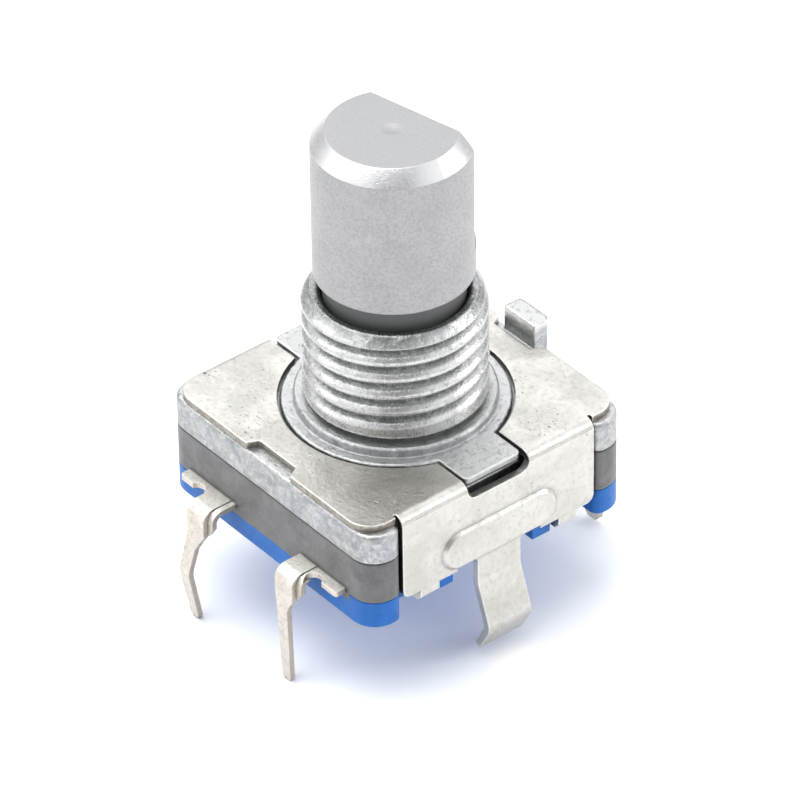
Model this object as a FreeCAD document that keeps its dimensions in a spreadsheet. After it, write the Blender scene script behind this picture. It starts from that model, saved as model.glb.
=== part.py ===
import FreeCAD, Part
import math
import os
import re
import Sketcher

# Rotary encoder with push switch: threaded die-cast bushing, folded steel cover, two plastic
# layers, three encoder terminals at the back (+Y) and two switch terminals at the front (-Y).
# Millimetres. The origin is on the shaft's axis where the base meets the circuit board, +Z up.

SIZES = {
    # levels above the circuit board
    "pocket_floor": 0.32,
    "wall_low": 0.75,
    "rib_level": 0.80,
    "chamber_top": 1.10,
    "boss_level": 1.12,
    "cavity_floor": 1.60,
    "plate_level": 2.89,
    "ceiling": 3.75,
    "bush_ceiling": 4.05,
    "sheet_level": 4.15,
    "lug_low": 4.22,
    "cover_top": 4.45,
    "collar_top": 4.80,
    "bush_top": 9.45,
    "shoulder": 10.35,
    "flat_bottom": 11.45,
    "shaft_top": 16.45,
    # outline of the layered body
    "half_y": 6.13,
    "boss_x": 6.00,
    "wall_x": 5.55,
    "relief_x": 5.25,
    "boss_y": 4.60,
    "relief_y": 3.00,
    "step_x": 4.75,
    "corner_r": 1.00,
    "ear_r": 0.40,
    # shaft
    "shaft_r": 3.00,
    "shaft_chamfer": 0.55,
    "flat_dist": 1.35,
    "flat_turn": 12.5,
    "neck_r": 2.45,
    "collar_neck_r": 2.66,
    "collar_neck_low": 8.60,
    "groove_r": 2.00,
    "ring_low": 3.65,
    "ring_high": 3.95,
    "land_low": 3.40,
    "land_r": 2.30,
    "drive_r": 1.75,
    "drive_flat": 1.20,
    "drive_low": 2.15,
    "dimple_r": 0.40,
    "dimple_deep": 0.04,
    # retaining ring and thrust washer
    "clip_r": 2.95,
    "clip_gap": 0.60,
    "clip_play": 0.005,
    "washer_r": 3.05,
    "washer_play": 0.08,
    # bushing and flange
    "thread_r": 3.46,
    "thread_root": 3.08,
    "thread_pitch": 0.75,
    "thread_low": 5.02,
    "thread_start": 0.71,
    "thread_flat": 0.02,
    "thread_knee_r": 3.34,
    "thread_knee": 0.17,
    "thread_wide": 0.30,
    "thread_out_r": 3.60,
    "relief_cut": 0.04,
    "nose_chamfer": 0.38,
    "collar_r": 3.80,
    "collar_chamfer": 0.07,
    "bore_r": 2.50,
    "mouth_r": 2.72,
    "mouth_low": 8.00,
    "sink_r": 2.86,
    "flange_r": 4.28,
    "flange_edge": 0.08,
    "plate_round": 0.14,
    "layer_edge": 0.05,
    "lug_x": 5.62,
    "lug_half": 1.30,
    "lug_corner_r": 0.22,
    "lug_void_x": 4.85,
    "cavity_r": 4.75,
    "bush_cavity_r": 3.25,
    "post_half": 0.86,
    "post_y1": 5.93,
    "post_y2": 6.72,
    "post_top": 5.20,
    "post_corner_r": 0.24,
    # folded sheet cover
    "sheet_t": 0.30,
    "cover_y": 6.05,
    "cover_ear_x": 5.68,
    "wall_out": 5.935,
    "wall_half": 4.54,
    "wall_ear": 0.12,
    "wall_corner_r": 0.35,
    "bend_r": 0.42,
    "hole_r": 4.41,
    "slot_half": 1.46,
    "slot_low": 3.75,
    "slot_corner_r": 0.45,
    "notch_half": 1.05,
    "notch_slope": 0.25,
    "notch_deep": 0.48,
    "notch_corner_r": 0.14,
    "press_deep": 0.14,
    "press_slope": 0.13,
    "press_half": 2.72,
    "press_high": 2.56,
    "gate_half": 1.98,
    "gate_high": 0.90,
    "gate_r": 0.25,
    "tab_y1": 2.85,
    "tab_y2": 3.72,
    "tab_low": 0.20,
    "tab_bend": 0.22,
    "tab_reach": 4.85,
    "leg_half": 1.01,
    "leg_root": 0.98,
    "leg_knee_z": -0.35,
    "leg_knee_r": 0.80,
    "leg_out_x": 6.44,
    "leg_out_z": -2.20,
    "leg_toe_r": 0.50,
    "leg_tip_x": 5.87,
    "leg_tip_z": -3.27,
    # rotor, code disc and detent
    "steps": 20,
    "fit_gap": 0.05,
    "rotor_low": 2.25,
    "rotor_top": 3.35,
    "rotor_r": 4.35,
    "track_r": 3.45,
    "hub_top": 3.05,
    "hub_sink": 2.85,
    "hub_sink_r": 2.50,
    "disc_low": 2.05,
    "disc_in": 1.90,
    "disc_out": 4.25,
    "window_in": 2.85,
    "window_out": 4.00,
    "window_half": 0.225,
    "tooth_deep": 0.20,
    "tooth_half": 0.42,
    "tooth_flat": 0.16,
    "tooth_in": 3.25,
    "spring_t": 0.12,
    "spring_in": 3.50,
    "bump_in": 3.52,
    "bump_out": 4.65,
    "bump_half": 0.75,
    "bump_flat": 0.13,
    "bump_low": 3.34,
    "bump_wall": 0.08,
    "bump_floor": 0.14,
    "wafer_r": 4.60,
    # terminals
    "pin_t": 0.22,
    "pin_w": 0.80,
    "pin_bend": 0.38,
    "pin_point": 0.18,
    "abc_pitch": 2.50,
    "abc_y": 7.50,
    "abc_inner": 3.20,
    "abc_tip_z": -3.60,
    "switch_left": 2.60,
    "switch_right": 2.45,
    "switch_z": 1.17,
    "switch_inner": 4.00,
    "tip_z": -3.75,
    "head_left": 0.54,
    "head_right": 0.47,
    "shoulder_right": 0.73,
    "shoulder_back": 0.21,
    "shoulder_low": -0.17,
    "shoulder_high": 0.59,
    "shoulder_in": 0.25,
    "waist_right": 0.12,
    "waist_z": -0.50,
    "tip_left": 0.25,
    "tip_right": 0.19,
    "tip_cut": 0.10,
    "taper_z": 0.30,
    "score_w": 0.05,
    "score_deep": 0.07,
    "score_from": 5.60,
    "wing_left": 2.05,
    "wing_right": 2.12,
    "wing_y": 6.60,
    "wing_root": 4.93,
    "wing_corner_r": 0.14,
    "wing_notch_r": 0.36,
    "wing_notch_x": 0.94,
    "wing_notch_y": 6.72,
    "bent_y": 7.39,
    "bent_z": -0.05,
    "bent_r": 0.90,
    "kink_y": 7.92,
    "kink_z": -1.50,
    "kink_tip_y": 7.53,
    "straight_y": 7.24,
    "straight_tip_y": 7.19,
    # wipers
    "wiper_t": 0.12,
    "wiper_w": 0.50,
    "wiper_foot": 3.66,
    "wiper_heel": 3.15,
    "wiper_bend": 0.30,
    "wiper_nose": 0.35,
    "wiper_dip": 0.12,
    "wiper_gap": 0.02,
    "common_r": 2.40,
    "sensor_step": 5.75,
    # push switch
    "pocket_r": 2.60,
    "contact_t": 0.15,
    "contact_r": 0.60,
    "ring_in": 1.90,
    "ring_out": 2.40,
    "ring_gap": 0.75,
    "lead_half": 0.25,
    "lead_far": 4.75,
    "lead_turn": 58.0,
    "dome_r": 2.30,
    "dome_rise": 0.55,
    "dome_t": 0.07,
    "dome_play": 0.01,
    "stem_r": 1.15,
    "stem_top": 2.12,
    "stem_flange_r": 1.60,
    "stem_flange_low": 0.90,
    "stem_flange_top": 1.07,
    # reliefs in the blue base
    "tab_room": 0.10,
    "tab_air": 0.03,
    "leg_room_x": 4.90,
    "leg_room_y": 1.90,
}

doc = FreeCAD.newDocument("rotary_encoder")
sheet = doc.addObject("Spreadsheet::Sheet", "Sheet")
for row, (alias, size) in enumerate(SIZES.items(), start=1):
    sheet.set(f"A{row}", alias)
    sheet.set(f"B{row}", str(size))
    sheet.setAlias(f"B{row}", alias)
doc.recompute()

ORIGIN = (-1, 1)
FAR = "20"
NEAR = 1e-4
UP = "XY_Plane"
V_AXIS = -2
SIDES = (("right", "1"), ("left", "( 0 - 1 )"))


# ---------------------------------------------------------------- helpers

def formula(text):
    """A sheet formula: every size named in it is read from the sheet."""
    return re.sub(r"[a-z]\w*", lambda word: f"Sheet.{word[0]}" if word[0] in SIZES else word[0], text)


def number(text):
    return float(sheet.evalExpression(formula(text)))


def new_body(label):
    body = doc.addObject("PartDesign::Body", label)
    body.Label = label
    return body


def origin_part(body, role):
    return next(item for item in body.Origin.OriginFeatures if item.Role == role)


def new_sketch(body, name, role, lift="0", turn="0"):
    """A sketch on one of the body's origin planes, lifted along its normal and turned on it."""
    sketch = body.newObject("Sketcher::SketchObject", name)
    sketch.AttachmentSupport = [(origin_part(body, role), "")]
    sketch.MapMode = "FlatFace"
    sketch.setExpression("AttachmentOffset.Base.z", formula(lift))
    sketch.setExpression("AttachmentOffset.Rotation.Angle", formula(turn))
    return sketch


def hold_away(sketch, kind, edge, end, text):
    """Holds one end of an edge at a distance from the sketch's origin along one axis."""
    held = sketch.addConstraint(Sketcher.Constraint(kind, *ORIGIN, edge, end, number(text)))
    sketch.setExpression(f"Constraints[{held}]", formula(text))


def hold(sketch, edge, end, u, v):
    """Holds one end (1 or 2) or centre (3) of an edge at a pair of formulas."""
    hold_away(sketch, "DistanceX", edge, end, u)
    hold_away(sketch, "DistanceY", edge, end, v)


def hold_radius(sketch, edge, radius):
    held = sketch.addConstraint(Sketcher.Constraint("Radius", edge, number(radius)))
    sketch.setExpression(f"Constraints[{held}]", formula(radius))


def point(corner):
    return FreeCAD.Vector(number(corner[0]), number(corner[1]), 0)


def new_arc(centre, start, finish):
    """An arc counterclockwise about the centre, from start to finish."""
    one, two = start - centre, finish - centre
    circle = Part.Circle(centre, FreeCAD.Vector(0, 0, 1), one.Length)
    return Part.ArcOfCircle(circle, math.atan2(one.y, one.x), math.atan2(two.y, two.x))


def add_outline(sketch, corners, closed=True):
    """Straight edges through corners given as pairs of formulas, each corner held by two of them."""
    points = [point(corner) for corner in corners]
    first = sketch.GeometryCount
    count = len(points) if closed else len(points) - 1
    for index in range(count):
        sketch.addGeometry(Part.LineSegment(points[index], points[(index + 1) % len(points)]), False)
    for index in range(1, count):
        sketch.addConstraint(Sketcher.Constraint("Coincident", first + index - 1, 2, first + index, 1))
    if closed:
        sketch.addConstraint(Sketcher.Constraint("Coincident", first + count - 1, 2, first, 1))
    for index, (u, v) in enumerate(corners):
        edge, end = (first + index, 1) if index < count else (first + count - 1, 2)
        hold(sketch, edge, end, u, v)


def add_circle(sketch, radius, u="0", v="0"):
    edge = sketch.addGeometry(Part.Circle(point((u, v)), FreeCAD.Vector(0, 0, 1), number(radius)), False)
    hold(sketch, edge, 3, u, v)
    hold_radius(sketch, edge, radius)


def add_route(sketch, corners):
    """Straight runs joined by tangent arcs. Each inner corner is two formulas and its arc's radius."""
    points = [point(corner) for corner in corners]
    lines, start = [], points[0]
    arcs = []
    for before, here, after, corner in zip(points, points[1:], points[2:], corners[1:]):
        inward, outward = (here - before).normalize(), (after - here).normalize()
        turn = inward.x * outward.y - inward.y * outward.x
        radius = number(corner[2])
        trim = radius * math.tan(inward.getAngle(outward) / 2)
        one, two = here - inward * trim, here + outward * trim
        side = math.copysign(radius, turn)
        centre = one + FreeCAD.Vector(-inward.y * side, inward.x * side, 0)
        lines.append(sketch.addGeometry(Part.LineSegment(start, one), False))
        bend = new_arc(centre, one, two) if turn > 0 else new_arc(centre, two, one)
        arcs.append((sketch.addGeometry(bend, False), turn > 0))
        start = two
    lines.append(sketch.addGeometry(Part.LineSegment(start, points[-1]), False))
    for (arc, left), line, following, corner in zip(arcs, lines, lines[1:], corners[1:]):
        near, far = (1, 2) if left else (2, 1)
        sketch.addConstraint(Sketcher.Constraint("Tangent", line, 2, arc, near))
        sketch.addConstraint(Sketcher.Constraint("Tangent", arc, far, following, 1))
        hold_radius(sketch, arc, corner[2])
        mark = sketch.addGeometry(Part.Point(point(corner)), True)
        sketch.addConstraint(Sketcher.Constraint("PointOnObject", mark, 1, line))
        sketch.addConstraint(Sketcher.Constraint("PointOnObject", mark, 1, following))
        hold(sketch, mark, 1, corner[0], corner[1])
    hold(sketch, lines[0], 1, *corners[0])
    hold(sketch, lines[-1], 2, *corners[-1])


def add_stadium(sketch, half, low, high):
    """A long round-ended outline, centred on the sketch's V axis."""
    radius, middle = f"( ( {high} ) - ( {low} ) ) / 2", f"( ( {high} ) + ( {low} ) ) / 2"
    reach = f"{half} - {radius}"
    right, left = point((reach, middle)), point((minus(reach), middle))
    up = FreeCAD.Vector(0, number(radius), 0)
    edges = [
        sketch.addGeometry(edge, False) for edge in (
            new_arc(right, right - up, right + up), Part.LineSegment(right + up, left + up),
            new_arc(left, left + up, left - up), Part.LineSegment(left - up, right - up),
        )
    ]
    for one, two in zip(edges, edges[1:] + edges[:1]):
        sketch.addConstraint(Sketcher.Constraint("Tangent", one, 2, two, 1))
    hold(sketch, edges[0], 3, reach, middle)
    hold(sketch, edges[2], 3, minus(reach), middle)
    hold_radius(sketch, edges[0], radius)


def rectangle(u1, u2, v1, v2):
    return [(u1, v1), (u2, v1), (u2, v2), (u1, v2)]


def minus(text):
    return f"0 - ( {text} )"


def four_ways(quarter):
    """The whole outline from its first-quarter corners, listed from the X axis to the Y axis."""
    left = [(minus(u), v) for u, v in reversed(quarter)]
    below = [(minus(u), minus(v)) for u, v in quarter]
    right = [(u, minus(v)) for u, v in reversed(quarter)]
    return quarter + left + below + right


def grow(body, kind, name, sketch, length, both_ways=False, backwards=False):
    """A pad or pocket of a sketch, with its length bound to the sheet."""
    before = body.Shape.Volume if body.Tip else 0
    feature = body.newObject(f"PartDesign::{kind}", name)
    feature.Profile = sketch
    feature.setExpression("Length", formula(length))
    feature.SideType = "Symmetric" if both_ways else "One side"
    feature.Reversed = backwards
    doc.recompute()
    changed = body.Shape.Volume - before
    if (kind == "Pad") != (changed > 0) or changed == 0:
        raise RuntimeError(f"{body.Label}: {name} changes the volume by {changed:.4f}")
    return feature


def spin(body, kind, name, sketch):
    """A full revolution or groove of a sketch about the body's Z axis."""
    feature = body.newObject(f"PartDesign::{kind}", name)
    feature.Profile = sketch
    feature.ReferenceAxis = (origin_part(body, "Z_Axis"), [""])
    doc.recompute()
    return feature


def sweep(body, name, path, section):
    """A section swept along a path; each is a sketch's plane, lift and corners."""
    plane, lift, corners = path
    spine = new_sketch(body, f"{name}_path", plane, lift)
    add_route(spine, corners)
    plane, lift, corners = section
    profile = new_sketch(body, f"{name}_section", plane, lift)
    add_outline(profile, corners)
    doc.recompute()
    pipe = body.newObject("PartDesign::AdditivePipe", name)
    pipe.Profile = profile
    pipe.Spine = spine
    doc.recompute()
    return pipe


def sweep_strip(body, name, x, route, x1, x2, thick):
    """A flat strip from x1 to x2 that sets off along Y and bends in the YZ plane at x."""
    y, z = route[0]
    corners = rectangle(x1, x2, f"{z} - {thick} / 2", f"{z} + {thick} / 2")
    return sweep(body, name, ("YZ_Plane", x, route), ("XZ_Plane", minus(y), corners))


def edges_where(shape, test):
    names = []
    for index, edge in enumerate(shape.Edges, start=1):
        if test(edge):
            names.append(f"Edge{index}")
    return names


def parallel_at(across, where):
    """Picks straight edges at the given distances from the origin planes of the two named axes."""
    def test(edge):
        ends = [[getattr(vertex.Point, axis) for axis in across] for vertex in edge.Vertexes]
        if len(ends) != 2 or max(abs(one - two) for one, two in zip(*ends)) > NEAR:
            return False
        return all(abs(abs(found) - abs(place)) < NEAR for found, place in zip(ends[0], where))
    return test


def upright_at(x, y):
    return parallel_at("xy", (x, y))


def along_y_at(x, z):
    return parallel_at("xz", (x, z))


def along_x_at(y, z):
    return parallel_at("yz", (y, z))


def at_level(level):
    """Picks the edges that lie at one height."""
    def test(edge):
        box = edge.BoundBox
        return abs(box.ZMin - level) < NEAR and abs(box.ZMax - level) < NEAR
    return test


def on_side(test, sign):
    """Keeps only the edges whose middle has an X of the given sign."""
    return lambda edge: test(edge) and edge.CenterOfMass.x * sign > 0


def soften(body, name, radius, test, kind="Fillet"):
    """A fillet or chamfer on the edges of the body that pass the test."""
    base = body.Tip
    names = edges_where(base.Shape, test)
    if not names:
        raise RuntimeError(f"{body.Label}: no edge for {name}")
    feature = body.newObject(f"PartDesign::{kind}", name)
    feature.Base = (base, names)
    feature.setExpression("Radius" if kind == "Fillet" else "Size", formula(radius))
    doc.recompute()
    if "Invalid" in feature.State:
        raise RuntimeError(f"{body.Label}: {name} failed")
    return feature


def bind(thing, **texts):
    for name, text in texts.items():
        thing.setExpression(name.replace("_", "."), formula(text))


def new_cylinder(name, radius, low, high):
    thing = doc.addObject("Part::Cylinder", name)
    bind(thing, Radius=radius, Height=f"{high} - ( {low} )", Placement_Base_z=low)
    return thing


def new_sphere(name, radius, centre_z):
    thing = doc.addObject("Part::Sphere", name)
    bind(thing, Radius=radius, Placement_Base_z=centre_z)
    return thing


def new_box(name, x1, x2, y1, y2, low, high):
    thing = doc.addObject("Part::Box", name)
    bind(thing, Length=f"{x2} - ( {x1} )", Width=f"{y2} - ( {y1} )", Height=f"{high} - ( {low} )")
    bind(thing, Placement_Base_x=x1, Placement_Base_y=y1, Placement_Base_z=low)
    return thing


def combine(kind, label, base, tool):
    thing = doc.addObject(f"Part::{kind}", label)
    thing.Label = label
    thing.Base = base
    thing.Tool = tool
    doc.recompute()
    return thing


def join(label, things):
    thing = doc.addObject("Part::MultiFuse", label)
    thing.Label = label
    thing.Shapes = things
    doc.recompute()
    return thing


# ---------------------------------------------------------------- turning parts

def make_shaft():
    body = new_body("shaft")
    profile = new_sketch(body, "shaft_profile", "XZ_Plane")
    add_outline(profile, [
        ("shaft_r - shaft_chamfer", "shaft_top"), ("dimple_r", "shaft_top"),
        ("0", "shaft_top - dimple_deep"), ("0", "drive_low"), ("drive_r", "drive_low"),
        ("drive_r", "land_low"), ("land_r", "land_low"), ("land_r", "ring_low"), ("groove_r", "ring_low"),
        ("groove_r", "ring_high"), ("neck_r", "ring_high"), ("neck_r", "collar_neck_low"),
        ("collar_neck_r", "collar_neck_low"), ("collar_neck_r", "shoulder"),
        ("shaft_r", "shoulder"), ("shaft_r", "flat_bottom"), ("shaft_r", "shaft_top - shaft_chamfer"),
    ], closed=False)
    close_with_crown(profile)
    spin(body, "Revolution", "shaft_turning", profile)
    flat = new_sketch(body, "knob_flat_outline", UP, "flat_bottom", "flat_turn")
    add_outline(flat, rectangle("0 - shaft_r - 1", "shaft_r + 1", "flat_dist", "shaft_r + 1"))
    grow(body, "Pocket", "knob_flat", flat, FAR, backwards=True)
    drive = new_sketch(body, "drive_flat_outline", UP, "drive_low")
    for _, side in SIDES:
        add_outline(drive, rectangle("0 - shaft_r", "shaft_r",
                                     f"drive_flat * {side}", f"shaft_r * {side}"))
    grow(body, "Pocket", "drive_flats", drive, "land_low - drive_low", backwards=True)
    keep_seams(body)
    return body


def close_with_crown(profile):
    """Closes the shaft's profile with a slightly crowned chamfer, an arc centred on the axis."""
    wide, narrow = number("shaft_r"), number("shaft_r - shaft_chamfer")
    low, top = number("shaft_top - shaft_chamfer"), number("shaft_top")
    centre_z = (wide ** 2 + low ** 2 - narrow ** 2 - top ** 2) / (2 * (low - top))
    last = profile.GeometryCount - 1
    crown = new_arc(*[FreeCAD.Vector(*place, 0) for place in ((0, centre_z), (wide, low), (narrow, top))])
    arc = profile.addGeometry(crown, False)
    profile.addConstraint(Sketcher.Constraint("Coincident", last, 2, arc, 1))
    profile.addConstraint(Sketcher.Constraint("Coincident", arc, 2, 0, 1))
    profile.addConstraint(Sketcher.Constraint("PointOnObject", arc, 3, V_AXIS))


def keep_seams(body):
    """Keeps the round and the flatted lengths as separate faces, so that each can be measured."""
    for feature in body.Group:
        if hasattr(feature, "Refine"):
            feature.Refine = False
    doc.recompute()


def make_retaining_ring():
    disc = new_cylinder("clip_disc", "clip_r", "ring_low + clip_play", "ring_high - clip_play")
    hole = new_cylinder("clip_hole", "groove_r + clip_play", "ring_low - 1", "ring_high + 1")
    opening = new_box("clip_opening", "0 - clip_r - 1", "0", "0 - clip_gap", "clip_gap",
                      "ring_low - 1", "ring_high + 1")
    return combine("Cut", "retaining_ring", combine("Cut", "clip_ring", disc, hole), opening)


def make_thrust_washer():
    disc = new_cylinder("washer_disc", "washer_r", "ring_high", "bush_ceiling")
    hole = new_cylinder("washer_hole", "neck_r + washer_play", "ring_high - 1", "bush_ceiling + 1")
    return combine("Cut", "thrust_washer", disc, hole)


def make_rotor():
    body = new_body("rotor")
    profile = new_sketch(body, "rotor_profile", "XZ_Plane")
    add_outline(profile, [
        ("0", "rotor_low"), ("rotor_r", "rotor_low"), ("rotor_r", "rotor_top"),
        ("track_r", "rotor_top"), ("track_r", "hub_top"), ("hub_sink_r", "hub_top"),
        ("hub_sink_r", "hub_sink"), ("0", "hub_sink"),
    ])
    spin(body, "Revolution", "rotor_turning", profile)
    bore = new_sketch(body, "drive_bore_outline", UP, "rotor_low")
    add_double_flat(bore, "drive_r + fit_gap", "drive_flat + fit_gap")
    grow(body, "Pocket", "drive_bore", bore, FAR, backwards=True)
    tooth = new_sketch(body, "detent_groove_outline", "XZ_Plane", minus("rotor_r + 1"))
    add_outline(tooth, [
        ("0 - tooth_flat", "rotor_top - tooth_deep"), ("tooth_flat", "rotor_top - tooth_deep"),
        ("tooth_half", "rotor_top"), ("tooth_half", "rotor_top + 1"),
        ("0 - tooth_half", "rotor_top + 1"), ("0 - tooth_half", "rotor_top"),
    ])
    groove = grow(body, "Pocket", "detent_groove", tooth, "rotor_r + 1 - tooth_in", backwards=True)
    ring_of(body, "detent_grooves", groove)
    return body


def add_double_flat(sketch, radius, flat):
    """A circle cut by two parallel flats: two arcs and two straight edges."""
    r, half = number(radius), number(flat)
    angle = math.asin(half / r)
    circle = Part.Circle(FreeCAD.Vector(0, 0, 0), FreeCAD.Vector(0, 0, 1), r)
    right = Part.ArcOfCircle(circle, -angle, angle)
    left = Part.ArcOfCircle(circle, math.pi - angle, math.pi + angle)
    reach = math.sqrt(r * r - half * half)
    top = Part.LineSegment(FreeCAD.Vector(reach, half, 0), FreeCAD.Vector(-reach, half, 0))
    low = Part.LineSegment(FreeCAD.Vector(-reach, -half, 0), FreeCAD.Vector(reach, -half, 0))
    for edge in (right, top, left, low):
        sketch.addGeometry(edge, False)
    for one, two in ((0, 1), (1, 2), (2, 3), (3, 0)):
        sketch.addConstraint(Sketcher.Constraint("Coincident", one, 2, two, 1))
    for arc in (0, 2):
        sketch.addConstraint(Sketcher.Constraint("Coincident", arc, 3, *ORIGIN))
    for line in (1, 3):
        sketch.addConstraint(Sketcher.Constraint("Horizontal", line))
    hold_radius(sketch, 0, radius)
    hold_away(sketch, "DistanceY", 1, 1, flat)
    hold_away(sketch, "DistanceY", 3, 1, minus(flat))


def ring_of(body, name, feature):
    """Repeats a feature once per detent step around the Z axis."""
    pattern = body.newObject("PartDesign::PolarPattern", name)
    pattern.Originals = [feature]
    pattern.Axis = (origin_part(body, "Z_Axis"), [""])
    pattern.Angle = 360
    pattern.setExpression("Occurrences", formula("steps"))
    body.Tip = pattern
    doc.recompute()
    return pattern


def make_code_disc():
    body = new_body("code_disc")
    ring = new_sketch(body, "disc_outline", UP, "disc_low")
    add_circle(ring, "disc_out")
    add_circle(ring, "disc_in")
    grow(body, "Pad", "disc_blank", ring, "rotor_low - disc_low")
    window = new_sketch(body, "window_outline", UP, "disc_low")
    add_outline(window, rectangle("window_in", "window_out", "0 - window_half", "window_half"))
    cut = grow(body, "Pocket", "window", window, "rotor_low - disc_low", backwards=True)
    ring_of(body, "windows", cut)
    return body


def make_detent_spring():
    """A ring with two hollow bumps that reach the rotor's grooves."""
    body = new_body("detent_spring")
    ring = new_sketch(body, "spring_outline", UP, "ceiling - spring_t")
    add_circle(ring, "cavity_r - fit_gap")
    add_circle(ring, "spring_in")
    grow(body, "Pad", "spring_ring", ring, "spring_t")
    for name, start in (("front", "bump_in"), ("back", minus("bump_out"))):
        bump = new_sketch(body, f"{name}_bump_outline", "XZ_Plane", start)
        add_outline(bump, [
            ("0 - bump_half", "ceiling - spring_t / 2"), ("0 - bump_half", "ceiling - spring_t"),
            ("0 - bump_flat", "bump_low"), ("bump_flat", "bump_low"),
            ("bump_half", "ceiling - spring_t"), ("bump_half", "ceiling - spring_t / 2"),
        ])
        grow(body, "Pad", f"{name}_bump", bump, "bump_out - bump_in")
        hollow = new_sketch(body, f"{name}_hollow_outline", "XZ_Plane", start)
        add_outline(hollow, [
            ("0 - bump_half + bump_wall", "ceiling + 1"), ("0 - bump_half + bump_wall", "ceiling"),
            ("0 - bump_flat / 2", "bump_low + bump_floor"), ("bump_flat / 2", "bump_low + bump_floor"),
            ("bump_half - bump_wall", "ceiling"), ("bump_half - bump_wall", "ceiling + 1"),
        ])
        grow(body, "Pocket", f"{name}_hollow", hollow, "bump_out - bump_in", backwards=True)
    return body


# ---------------------------------------------------------------- housing

def body_outline():
    """First quarter of the layered body's outline: leg relief, side wall and corner boss."""
    return [
        ("relief_x", "relief_y"), ("wall_x", "relief_y"), ("wall_x", "boss_y"),
        ("boss_x", "boss_y"), ("boss_x", "half_y"),
    ]


def round_corners(body):
    soften(body, "rounded_corners", "corner_r", upright_at(number("boss_x"), number("half_y")))
    soften(body, "rounded_bosses", "ear_r", upright_at(number("boss_x"), number("boss_y")))


def make_bushing_housing():
    body = new_body("bushing_housing")
    plate = new_sketch(body, "plate_outline", UP, "plate_level")
    add_outline(plate, four_ways(body_outline()))
    grow(body, "Pad", "plate", plate, "sheet_level - plate_level")
    round_corners(body)
    soften(body, "rounded_plate_top", "plate_round", at_level(number("sheet_level")))
    soften(body, "plate_low_edge", "layer_edge", at_level(number("plate_level")), "Chamfer")
    post = new_sketch(body, "post_outline", UP, "plate_level")
    add_outline(post, rectangle("0 - post_half", "post_half", "post_y1", "post_y2"))
    grow(body, "Pad", "locating_post", post, "post_top - plate_level")
    soften(body, "rounded_post", "post_corner_r", upright_at(number("post_half"), number("post_y2")))
    disc = new_sketch(body, "flange_outline", UP, "ceiling")
    add_circle(disc, "flange_r")
    grow(body, "Pad", "flange", disc, "cover_top - ceiling")
    soften(body, "rounded_flange", "flange_edge", at_level(number("cover_top")))
    void = new_sketch(body, "lug_void_outline", UP, "ceiling")
    for _, side in SIDES:
        add_outline(void, rectangle(f"lug_void_x * {side}", f"( wall_x + 1 ) * {side}",
                                    "0 - slot_half", "slot_half"))
    grow(body, "Pocket", "lug_voids", void, "1", backwards=True)
    lugs = new_sketch(body, "lug_outline", UP, "lug_low")
    add_outline(lugs, rectangle("0 - lug_x", "lug_x", "0 - lug_half", "lug_half"))
    grow(body, "Pad", "lugs", lugs, "cover_top - lug_low")
    soften(body, "rounded_lugs", "lug_corner_r", upright_at(number("lug_x"), number("lug_half")))
    bush = new_sketch(body, "bushing_profile", "XZ_Plane")
    root = "( thread_root + thread_flat )"
    add_outline(bush, [
        ("0", "sheet_level"), ("collar_r", "sheet_level"), ("collar_r", "collar_top - collar_chamfer"),
        ("collar_r - collar_chamfer", "collar_top"), (root, "collar_top"),
        (root, "thread_low - relief_cut"), ("thread_r", "thread_low + relief_cut"),
        ("thread_r", "bush_top - nose_chamfer"), ("thread_root", "bush_top"), ("0", "bush_top"),
    ])
    spin(body, "Revolution", "bushing_turning", bush)
    cut_thread(body)
    bore = new_sketch(body, "bore_profile", "XZ_Plane")
    add_outline(bore, [
        ("0", "plate_level - 1"), ("cavity_r", "plate_level - 1"), ("cavity_r", "ceiling"),
        ("bush_cavity_r", "ceiling"), ("bush_cavity_r", "bush_ceiling"), ("bore_r", "bush_ceiling"),
        ("bore_r", "mouth_low"), ("mouth_r", "mouth_low"), ("mouth_r", "bush_top - sink_r + mouth_r"),
        ("sink_r", "bush_top"), ("sink_r", "bush_top + 1"), ("0", "bush_top + 1"),
    ])
    spin(body, "Groove", "bore_and_cavity", bore)
    return body


def cut_thread(body):
    """Cuts one helical groove with eased crests, from above the collar to beyond the nose."""
    before = body.Shape.Volume
    side = new_sketch(body, "thread_section", "XZ_Plane")
    middle = "( collar_top + thread_start )"
    section = [
        ("thread_root", "thread_flat"), ("thread_knee_r", "thread_knee"),
        ("thread_r", "thread_wide"), ("thread_out_r", "thread_wide"),
    ]
    below = [(minus(radius), f"{middle} - {half}") for radius, half in section]
    above = [(minus(radius), f"{middle} + {half}") for radius, half in section]
    add_outline(side, below + above[::-1])
    doc.recompute()
    thread = body.newObject("PartDesign::SubtractiveHelix", "thread")
    thread.Profile = side
    thread.ReferenceAxis = (origin_part(body, "Z_Axis"), [""])
    thread.Mode = 0
    thread.setExpression("Pitch", formula("thread_pitch"))
    thread.setExpression("Height", formula("bush_top - collar_top + thread_pitch"))
    doc.recompute()
    if body.Shape.Volume >= before:
        raise RuntimeError("the thread cuts nothing")


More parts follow.
